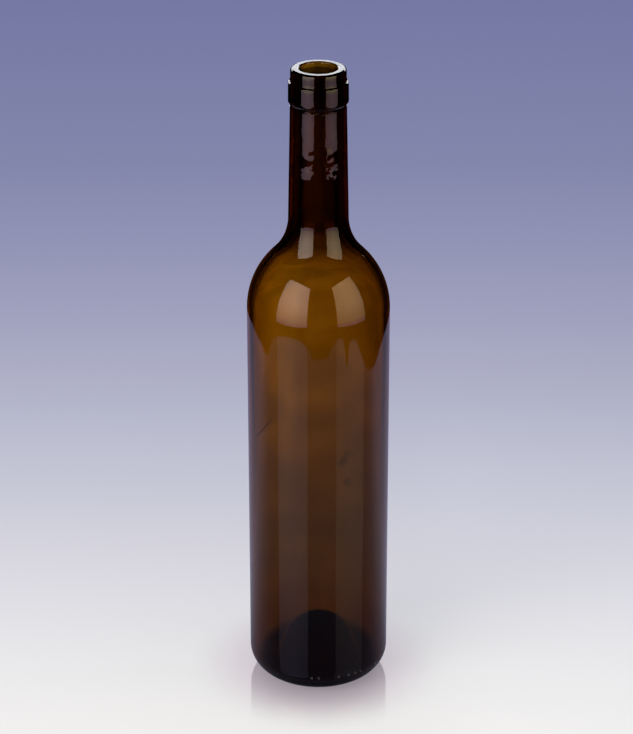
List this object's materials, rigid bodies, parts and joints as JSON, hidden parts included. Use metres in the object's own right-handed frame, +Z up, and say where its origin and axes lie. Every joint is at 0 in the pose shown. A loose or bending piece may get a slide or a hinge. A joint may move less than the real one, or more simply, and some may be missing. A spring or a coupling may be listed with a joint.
{
  "type": "wine bottle",
  "caption": "Empty amber glass wine bottle with high round shoulders, a long neck, a flat-banded cork finish and a deep punt.",
  "frame": {"origin": "middle of the base, on the plane that the bottle stands on", "axes": "+Z up along the bottle's axis, from the base to the mouth; X and Y are any two level directions, because the bottle is round"},
  "size_m": [0.072, 0.072, 0.3315],
  "materials": {
    "glass": "clear polished amber-brown container glass"
  },
  "bodies": {
    "root": {"bottle": "glass"}
  },
  "joints": []
}
